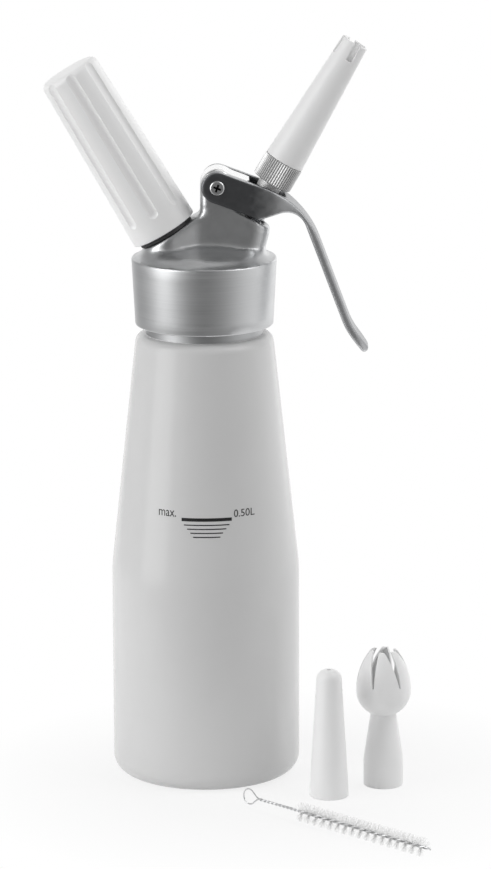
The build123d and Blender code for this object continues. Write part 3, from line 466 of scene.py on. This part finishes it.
def screw_steel():
    # Plated screw head: bright and satin, with its cross recess painted dark as shade.
    material, tree, shader, place = begin("plated_screw_steel", {"Metallic": 1.0})
    haze_values = {"Scale": per(0.8), "Detail": 3.0}
    haze = add(tree, "TexNoise", haze_values, {"Vector": place["Object"]}).outputs["Fac"]
    brights = {6: linear("#D0D1D2"), 7: linear("#E6E6E7")}
    bright = add(tree, "Mix", brights, {0: haze}, data_type="RGBA").outputs[2]
    spot = add(tree, "SeparateXYZ", links={"Vector": place["Object"]}).outputs
    face_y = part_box("pivot_screw")[0][1]
    sunk_from = {1: face_y + cross_sink}
    sunk = add(tree, "Math", sunk_from, {0: spot["Y"]}, operation="GREATER_THAN").outputs[0]
    middle = {1: (pivot_x, 0, pivot_z)}
    flat = add(tree, "VectorMath", {1: (1, 0, 1)}, {0: place["Object"]}, operation="MULTIPLY")
    radius = add(tree, "VectorMath", middle, {0: flat.outputs[0]}, operation="DISTANCE").outputs["Value"]
    core = add(tree, "Math", {1: cross_reach}, {0: radius}, operation="LESS_THAN").outputs[0]
    recess = add(tree, "Math", links={0: sunk, 1: core}, operation="MULTIPLY").outputs[0]
    # Painted shade in the cross recess
    painted_hollow_shade = {7: linear("#1C1C1C")}
    colour = add(tree, "Mix", painted_hollow_shade, {0: recess, 6: bright}, data_type="RGBA").outputs[2]
    rough = add(tree, "MapRange", {"To Min": 0.2, "To Max": 0.34}, {"Value": haze}).outputs["Result"]
    for socket, source in (("Base Color", colour), ("Roughness", rough)):
        tree.links.new(source, shader.inputs[socket])
    return material


# Drawn steel gas bulb: satin, with a faint cloudy sheen
bulb_steel = grained(
    "drawn_bulb_steel", {"Metallic": 1.0}, ("#9C9D9F", "#B9BABC"), 6.0, (0.26, 0.36), 0.5, 0.006
)

# Galvanised wire: grey, a little dull in its hollows
galvanised_wire = grained(
    "galvanised_wire", {"Metallic": 1.0}, ("#BEBFC0", "#E0E0E1"), 0.8, (0.26, 0.38), 0.2, 0.006
)

# Nylon monofilament: milky, with light passing through it
nylon = grained(
    "nylon_monofilament",
    {"Alpha": 0.2, "IOR": 1.53},
    ("#FAFAFA", "#FEFEFE"),
    1.5,
    (0.30, 0.45),
    0.3,
    0.002,
)

# Pad-printed ink: black, slightly uneven and satin
print_ink = grained("pad_print_ink", {}, ("#161617", "#232324"), 0.6, (0.35, 0.5), 0.25, 0.004)

finishes = {
    "bottle": stove_lacquer(),
    "head_gasket": grey_silicone,
    "charger_stud": plated_brass,
    "stud_washer": black_rubber,
    "piercing_pin": stainless,
    "charger_seal": black_rubber,
    "check_valve": black_rubber,
    "gas_charger": bulb_steel,
    "charger_holder": white_plastic,
    "pivot_screw": screw_steel(),
    "pivot_barrel": stainless,
    "valve_stem": stainless,
    "stem_o_ring": black_rubber,
    "valve_seal": black_rubber,
    "valve_nut": stainless,
    "nozzle_adapter": knurled_steel(),
    "adapter_seal": black_rubber,
    "nozzle_tip": white_plastic,
    "plain_tip": white_plastic,
    "tulip_tip": white_plastic,
}


def dress(piece, material):
    """The piece's only material."""
    piece.data.materials.clear()
    piece.data.materials.append(material)


for node, finish in finishes.items():
    dress(nodes[node], finish)


def pick(piece):
    """Makes the piece the one selected and active object."""
    bpy.ops.object.select_all(action="DESELECT")
    piece.select_set(True)
    bpy.context.view_layer.objects.active = piece


def edit(piece):
    """Opens the piece for editing, with all of it selected."""
    pick(piece)
    bpy.ops.object.mode_set(mode="EDIT")
    bpy.ops.mesh.select_mode(type="VERT")
    bpy.ops.mesh.select_all(action="SELECT")


def close_edit():
    """Leaves editing, and with it puts the changes into the mesh."""
    bpy.ops.object.mode_set(mode="OBJECT")


def copy_of(node, name):
    """A separate piece with a CAD node's shape, its triangles merged."""
    piece = bpy.data.objects.new(name, nodes[node].data.copy())
    piece.data.name = name
    bpy.context.scene.collection.objects.link(piece)
    edit(piece)
    bpy.ops.mesh.remove_doubles(threshold=cad_merge)
    bpy.ops.mesh.customdata_custom_splitnormals_clear()
    close_edit()
    return piece


def settle(piece):
    """Puts the piece's place into its mesh."""
    pick(piece)
    bpy.ops.object.transform_apply(location=True, rotation=True, scale=True)


def finish_with(piece, kind, **settings):
    """Adds a modifier and applies it."""
    pick(piece)
    modifier = piece.modifiers.new(kind.lower(), kind)
    for name, value in settings.items():
        setattr(modifier, name, value)
    bpy.ops.object.modifier_apply(modifier=modifier.name)


def cut_level(piece, level, keep_above):
    """Cuts the piece at a height with a large block, which leaves it closed."""
    edit(piece)
    bpy.ops.mesh.quads_convert_to_tris()
    close_edit()
    side = -1 if keep_above else 1
    middle = (0, 0, level + side * cutter_size / 2)
    bpy.ops.mesh.primitive_cube_add(size=cutter_size, location=middle)
    block = bpy.context.object
    finish_with(piece, "BOOLEAN", operation="DIFFERENCE", object=block, solver="EXACT")
    bpy.data.meshes.remove(block.data)


def ease_hollows(piece, sharpest, rings, repeats):
    """Fills the hollow corners of a casting with a soft round."""
    edit(piece)
    bpy.ops.mesh.select_all(action="DESELECT")
    mesh = bmesh.from_edit_mesh(piece.data)
    for edge in mesh.edges:
        if edge.is_manifold and edge.calc_face_angle_signed() < -sharpest:
            edge.select_set(True)
    mesh.select_flush(True)
    for _ in range(rings):
        bpy.ops.mesh.select_more()
    bpy.ops.mesh.vertices_smooth(factor=0.5, repeat=repeats)
    close_edit()


def ease_band(piece, low, high, reach, repeats):
    """Softens all of a casting between two heights, within a reach of the middle."""
    edit(piece)
    mesh = bmesh.from_edit_mesh(piece.data)
    for vertex in mesh.verts:
        near = math.hypot(vertex.co.x, vertex.co.y) < reach
        vertex.select_set(near and low < vertex.co.z < high)
    mesh.select_flush(False)
    bpy.ops.mesh.vertices_smooth(factor=0.5, repeat=repeats)
    close_edit()


def head_pieces():
    """The head is one casting, drawn as two pieces for its two finishes: the skirt is turned, and the
    rim, dome, boss and tower flow together."""
    skirt = copy_of("head", "head_skirt")
    cut_level(skirt, casting_foot, keep_above=False)
    bpy.ops.object.shade_smooth_by_angle(angle=turned_crease)
    dress(skirt, turned_aluminium())
    casting = copy_of("head", "head_casting")
    cut_level(casting, casting_foot - casting_spare, keep_above=True)
    casting.data.remesh_voxel_size = casting_voxel
    bpy.ops.object.voxel_remesh()
    ease_hollows(casting, hollow_angle, hollow_rings, hollow_smoothing)
    ease_band(casting, casting_foot, dome_band_top, dome_reach, dome_smoothing)
    cut_level(casting, casting_foot, keep_above=True)
    bpy.ops.object.shade_smooth_by_angle(angle=cast_crease)
    dress(casting, blasted_casting())
    for piece in (skirt, casting):
        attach(piece, "head")
    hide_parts("head")


def lever_casting():
    """The lever with the soft edges of a tumbled casting; its pivot bore stays sharp."""
    lever = copy_of("lever", "lever_casting")
    lever.data.remesh_voxel_size = lever_voxel
    bpy.ops.object.voxel_remesh()
    edit(lever)
    mesh = bmesh.from_edit_mesh(lever.data)
    for vertex in mesh.verts:
        from_pivot = math.hypot(vertex.co.x - pivot_x, vertex.co.z - pivot_z)
        vertex.select_set(from_pivot > pivot_keep)
    mesh.select_flush(False)
    bpy.ops.mesh.vertices_smooth(factor=0.5, repeat=lever_smoothing)
    close_edit()
    bpy.ops.object.shade_smooth_by_angle(angle=cast_crease)
    dress(lever, casting_with_painted_shade())
    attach(lever, "lever")
    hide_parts("lever")


def valve_spring():
    """The real spring shortens towards its fixed end as the valve goes in; this copy is carried with the
    head, in a mesh of its own, and keeps its shape.
    """
    spring = copy_of("valve_spring", "return_spring")
    bpy.ops.object.shade_smooth_by_angle(angle=cast_crease)
    dress(spring, stainless)
    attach(spring, "head")
    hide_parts("valve_spring")
    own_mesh(spring)


def lay_print(piece):
    """Lays a flat printed shape on the bottle's front as a thin film of ink."""
    settle(piece)
    edit(piece)
    bpy.ops.mesh.remove_doubles(threshold=fine_merge)
    left = min(v.co.x for v in piece.data.vertices)
    right = max(v.co.x for v in piece.data.vertices)
    for step in range(1, math.ceil((right - left) / mark_grid)):
        bpy.ops.mesh.select_all(action="SELECT")
        bpy.ops.mesh.bisect(plane_co=(left + step * mark_grid, 0, 0), plane_no=(1, 0, 0))
    close_edit()
    finish_with(
        piece,
        "SHRINKWRAP",
        target=nodes["bottle"],
        wrap_method="PROJECT",
        use_project_y=True,
        use_positive_direction=True,
        use_negative_direction=False,
        offset=0.0,
    )
    finish_with(piece, "SOLIDIFY", thickness=mark_ink, offset=1.0)
    dress(piece, print_ink)
    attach(piece, "bottle")


def printed_bar(name, width, height, z):
    """A printed stroke across the middle of the mark."""
    bpy.ops.mesh.primitive_plane_add(
        size=1, location=(mark_middle, mark_sheet_y, z), rotation=(math.pi / 2, 0, 0)
    )
    bar = bpy.context.object
    bar.name = name
    bar.scale = (width, height, 1)
    lay_print(bar)


def printed_word(name, body, left, right, low, high):
    """Lettering that fills the room from left to right and from low to high."""
    bpy.ops.object.text_add(location=(0, 0, 0), rotation=(math.pi / 2, 0, 0))
    word = bpy.context.object
    word.name = name
    word.data.body = body
    bpy.ops.object.convert(target="MESH")
    settle(word)
    xs = [v.co.x for v in word.data.vertices]
    zs = [v.co.z for v in word.data.vertices]
    word.scale = ((right - left) / (max(xs) - min(xs)), 1, (high - low) / (max(zs) - min(zs)))
    word.location = (
        left - min(xs) * word.scale.x,
        mark_sheet_y,
        low - min(zs) * word.scale.z,
    )
    lay_print(word)


def fill_mark():
    """The bar at half a litre, four lines that get shorter below it, and its lettering."""
    printed_bar("fill_mark_bar", mark_bar_width, mark_bar_height, mark_bar_z)
    for index, width in enumerate(mark_line_widths):
        line_z = mark_bar_z - mark_line_first - mark_line_step * index
        printed_bar(f"fill_mark_line_{index + 1}", width, mark_line_height, line_z)
    printed_word("fill_mark_max", "max.", *mark_max_room)
    printed_word("fill_mark_volume", "0.50L", *mark_volume_room)


def wire_turn(along):
    """How far the twisted pair has turned at a place along the brush."""
    bare = min(along, brush_bare)
    return math.pi / 2 - 2 * math.pi * (bare / bare_pitch + (along - bare) / bristle_pitch)


def brush_place(piece):
    """Moves a piece made along X at the origin to where the brush lies."""
    piece.location = brush_foot
    piece.rotation_euler = (0, 0, brush_heading)
    settle(piece)


def brush_wire():
    """One wire, bent double round a loop and twisted together to the far end."""
    far = brush_bare + brush_zone + brush_end - wire_short
    steps = round(turn_points * abs(wire_turn(far) - wire_turn(0)) / (2 * math.pi))
    places = [far * step / steps for step in range(steps + 1)]

    def strand(along, side):
        turn = wire_turn(along) + side
        return along, wire_apart * math.cos(turn), wire_apart * math.sin(turn)

    open_half = math.acos(loop_r / loop_length)
    sweep = 2 * math.pi - 2 * open_half
    bows = [open_half + sweep * step / turn_points for step in range(turn_points + 1)]
    loop = [(-loop_length + loop_r * math.cos(bow), 0, loop_r * math.sin(bow)) for bow in bows]
    points = [strand(place, 0) for place in reversed(places)] + loop
    points += [strand(place, math.pi) for place in places]
    bpy.ops.curve.primitive_nurbs_path_add()
    wire = bpy.context.object
    wire.name = "brush_twisted_wire"
    spline = wire.data.splines[0]
    spline.points.add(len(points) - len(spline.points))
    for point, place in zip(spline.points, points):
        point.co = (*place, 1)
    spline.order_u = 4
    spline.use_endpoint_u = True
    spline.resolution_u = 3
    wire.data.dimensions = "3D"
    wire.data.bevel_depth = wire_r
    wire.data.bevel_resolution = 2
    wire.data.use_fill_caps = True
    bpy.ops.object.convert(target="MESH")
    brush_place(wire)
    edit(wire)
    bpy.ops.mesh.remove_doubles(threshold=fine_merge)
    bpy.ops.mesh.normals_make_consistent(inside=False)
    close_edit()
    bpy.ops.object.shade_smooth_by_angle(angle=wire_crease)
    dress(wire, galvanised_wire)
    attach(wire, "brush")
    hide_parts("brush_wire")


def brush_bristles():
    """Fine filaments held across the twisted pair, so that they fan out in a spiral."""
    bpy.ops.mesh.primitive_cylinder_add(vertices=3, radius=bristle_r, depth=2 * bristle_reach)
    strand = bpy.context.object
    edit(strand)
    bpy.ops.mesh.select_all(action="DESELECT")
    mesh = bmesh.from_edit_mesh(strand.data)
    for edge in mesh.edges:
        edge.select_set(abs(edge.verts[0].co.z - edge.verts[1].co.z) > bristle_reach)
    bpy.ops.mesh.subdivide(number_cuts=bristle_cuts)
    close_edit()
    spread = random.Random(bristle_seed)
    strands = []
    for row in range(bristle_rows):
        along = brush_bare + brush_zone * (row + spread.random()) / bristle_rows
        turn = wire_turn(along) + math.radians(spread.gauss(0, bristle_stray))
        lean = math.radians(spread.gauss(0, bristle_lean))
        length = 1 - bristle_uneven * spread.random()
        copy = bpy.data.objects.new("bristle", strand.data.copy())
        place = Matrix.Translation((along, 0, 0)) @ Matrix.Rotation(turn, 4, "X")
        copy.data.transform(place @ Matrix.Rotation(lean, 4, "Y") @ Matrix.Scale(length, 4, (0, 0, 1)))
        bpy.context.scene.collection.objects.link(copy)
        strands.append(copy)
    bpy.data.objects.remove(strand)
    pick(strands[0])
    for copy in strands:
        copy.select_set(True)
    bpy.ops.object.join()
    bristles = bpy.context.object
    bristles.name = "brush_bristle_spiral"
    loose = bristles.vertex_groups.new(name="loose")
    for vertex in bristles.data.vertices:
        share = math.hypot(vertex.co.y, vertex.co.z) / bristle_reach
        loose.add([vertex.index], min(1, share * share), "REPLACE")
    waves = bpy.data.textures.new("bristle_waves", "CLOUDS")
    waves.noise_scale = bristle_wave
    finish_with(
        bristles,
        "DISPLACE",
        texture=waves,
        texture_coords="LOCAL",
        direction="RGB_TO_XYZ",
        vertex_group=loose.name,
        strength=bristle_bend,
    )
    brush_place(bristles)
    dress(bristles, nylon)
    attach(bristles, "brush")
    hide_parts("brush_bristles")


head_pieces()
lever_casting()
valve_spring()
fill_mark()
brush_wire()
brush_bristles()


def stage_floor():
    """A white paper floor. It shows the shadow near the object and turns to the white background."""
    bpy.ops.mesh.primitive_plane_add(size=1, location=floor_place)
    floor = bpy.context.object
    floor.name = "paper_floor"
    floor.scale = floor_spread
    settle(floor)
    material, tree, shader, place = begin("white_paper", {"Roughness": 0.9, "Specular IOR Level": 0.1})
    fibre_values = {"Scale": per(1.2), "Detail": 3.0}
    fibre = add(tree, "TexNoise", fibre_values, {"Vector": place["Object"]}).outputs["Fac"]
    whites = {6: linear("#F3F3F3"), 7: linear("#F7F7F7")}
    white = add(tree, "Mix", whites, {0: fibre}, data_type="RGBA").outputs[2]
    tree.links.new(white, shader.inputs["Base Color"])
    middle = {1: shadow_middle}
    reach = add(tree, "VectorMath", middle, {0: place["Object"]}, operation="DISTANCE").outputs["Value"]
    fade_values = {
        "From Min": shadow_fade[0], "From Max": shadow_fade[1], "To Min": shadow_glow, "To Max": 1.0
    }
    fade = add(tree, "MapRange", fade_values, {"Value": reach}).outputs["Result"]
    rays = add(tree, "LightPath").outputs
    straight = {0: rays["Is Camera Ray"], 1: rays["Is Transmission Ray"]}
    direct = add(tree, "Math", links=straight, operation="MAXIMUM").outputs[0]
    seen_too = {0: direct, 1: rays["Is Glossy Ray"]}
    seen = add(tree, "Math", links=seen_too, operation="MAXIMUM").outputs[0]
    share = add(tree, "Math", links={0: seen, 1: fade}, operation="MULTIPLY").outputs[0]
    glow = add(tree, "Emission", {"Strength": 1.0})
    mixed = add(tree, "MixShader", links={0: share, 1: shader.outputs[0], 2: glow.outputs[0]})
    tree.links.new(mixed.outputs[0], tree.nodes["Material Output"].inputs["Surface"])
    dress(floor, material)


def studio_world():
    """White to the camera. To the object it is a studio: dim behind the camera and above, brighter
    at the sides, with a white backdrop."""
    world = bpy.data.worlds.new("studio")
    bpy.context.scene.world = world
    world.use_nodes = True
    tree = world.node_tree
    tree.nodes.clear()
    way = add(tree, "SeparateXYZ", links={"Vector": add(tree, "TexCoord").outputs["Generated"]}).outputs
    nearer = add(tree, "Math", {1: -1.0}, {0: way["Y"]}, operation="MULTIPLY").outputs[0]
    azimuth = add(tree, "Math", links={0: way["X"], 1: nearer}, operation="ARCTAN2").outputs[0]
    turn = {"From Min": -math.pi, "From Max": math.pi}
    along = add(tree, "MapRange", turn, {"Value": azimuth}).outputs["Result"]
    ramp = add(tree, "ValToRGB", links={"Fac": along})
    stops = ramp.color_ramp.elements
    stops.remove(stops[1])
    for degrees, value in studio_walls:
        stop = stops.new((degrees + 180) / 360)
        stop.color = (value, value, value, 1)
    stops.remove(stops[0])
    ceiling_values = {"From Min": ceiling_from, "From Max": ceiling_to}
    ceiling = add(tree, "MapRange", ceiling_values, {"Value": way["Z"]}).outputs["Result"]
    lid = {7: (studio_ceiling, studio_ceiling, studio_ceiling, 1)}
    sky = add(tree, "Mix", lid, {0: ceiling, 6: ramp.outputs["Color"]}, data_type="RGBA").outputs[2]
    pit_values = {"From Min": pit_from, "From Max": pit_to}
    pit = add(tree, "MapRange", pit_values, {"Value": way["Z"]}).outputs["Result"]
    below = {7: (studio_pit, studio_pit, studio_pit, 1)}
    room = add(tree, "Mix", below, {0: pit, 6: sky}, data_type="RGBA").outputs[2]
    rays = add(tree, "LightPath").outputs
    backdrop_values = {"From Min": backdrop_from, "From Max": backdrop_to}
    backdrop = add(tree, "MapRange", backdrop_values, {"Value": way["Y"]}).outputs["Result"]
    shiny = {0: rays["Is Glossy Ray"], 1: backdrop}
    mirrored = add(tree, "Math", links=shiny, operation="MULTIPLY").outputs[0]
    straight = {0: rays["Is Camera Ray"], 1: rays["Is Transmission Ray"]}
    direct = add(tree, "Math", links=straight, operation="MAXIMUM").outputs[0]
    seen = add(tree, "Math", links={0: direct, 1: mirrored}, operation="MAXIMUM").outputs[0]
    light = add(tree, "Background", {"Strength": 1.0}, {"Color": room})
    white = add(tree, "Background", {"Color": (1, 1, 1, 1), "Strength": 1.0})
    mixed = add(tree, "MixShader", links={0: seen, 1: light.outputs[0], 2: white.outputs[0]})
    output = add(tree, "OutputWorld", links={"Surface": mixed.outputs[0]})
    output.is_active_output = True


def softbox(name, azimuth, distance, height, width, tall, radiance):
    """A rectangular studio lamp, turned to the object. Azimuth 0 is at the camera, 90 at +X."""
    turn = math.radians(azimuth)
    place = lamp_aim + Vector((math.sin(turn) * distance, -math.cos(turn) * distance, height))
    bpy.ops.object.light_add(type="AREA", location=place)
    lamp = bpy.context.object
    lamp.name = name
    lamp.rotation_euler = (lamp_aim - place).to_track_quat("-Z", "Y").to_euler()
    lamp.data.shape = "RECTANGLE"
    lamp.data.size = width
    lamp.data.size_y = tall
    lamp.data.energy = radiance * math.pi * width * tall
    lamp.visible_camera = False


def studio_lamps():
    """A large softbox at the left, others at the right, above and behind."""
    for name, sizes in softboxes.items():
        softbox(name, *sizes)


def studio_camera():
    """The picture's camera: a lens of focal_length pixels, tipped down and a little rolled."""
    level = Matrix.Rotation(math.pi / 2 - camera_pitch, 3, "X")
    rolled = level @ Matrix.Rotation(camera_roll, 3, "Z")
    bpy.ops.object.camera_add(location=camera_place, rotation=rolled.to_euler())
    camera = bpy.context.object
    camera.data.sensor_width = sensor_width
    camera.data.lens = focal_length / picture_height * sensor_width
    bpy.context.scene.camera = camera


studio_camera()
studio_lamps()
studio_world()
stage_floor()

scene = bpy.context.scene
scene.view_settings.view_transform = "Standard"
